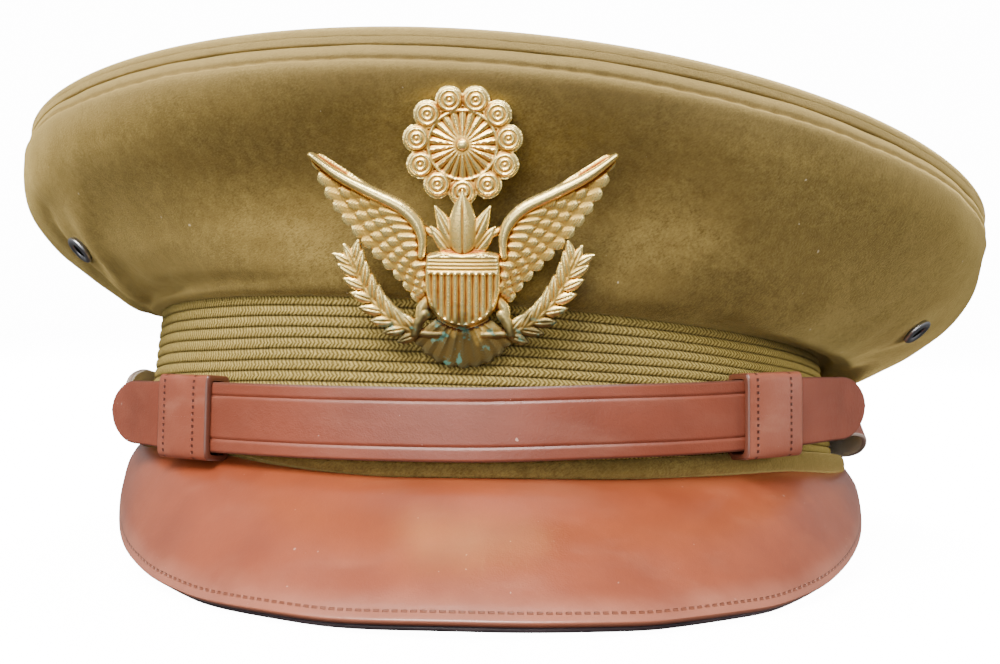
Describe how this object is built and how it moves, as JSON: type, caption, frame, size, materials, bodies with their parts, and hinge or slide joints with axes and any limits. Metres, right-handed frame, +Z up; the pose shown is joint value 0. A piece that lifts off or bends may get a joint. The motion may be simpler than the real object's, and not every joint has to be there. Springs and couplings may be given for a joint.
{
  "type": "peaked cap",
  "caption": "Officer's peaked cap with a soft olive cloth crown, ribbed band, russet leather peak and chin strap, and a gilt winged badge.",
  "frame": {"origin": "bottom centre of the resting cap's bounding box, on the table", "axes": "-Y is the front, where the peak points; +X is the viewer's right from the front; +Z is up from the table the cap rests on"},
  "size_m": [0.257, 0.2836, 0.1191],
  "materials": {
    "olive_cloth": "brushed wool",
    "olive_braid": "ribbed woven braid",
    "russet_leather": "polished",
    "dark_leather": "matte",
    "gilt_brass": "satin, lightly tarnished",
    "eyelet_metal": "blackened"
  },
  "bodies": {
    "root": {"band_core": "olive_cloth", "braid": "olive_braid", "crown_wall": "olive_cloth", "crown_welt": "olive_cloth", "crown_top": "olive_cloth", "eyelet_left": "eyelet_metal", "eyelet_right": "eyelet_metal", "peak_top": "russet_leather", "peak_underside": "dark_leather", "strap_front": "russet_leather", "strap_under": "russet_leather", "keeper_left": "russet_leather", "keeper_right": "russet_leather", "button_left": "gilt_brass", "button_right": "gilt_brass", "badge": "gilt_brass", "badge_nut": "gilt_brass"}
  },
  "joints": []
}
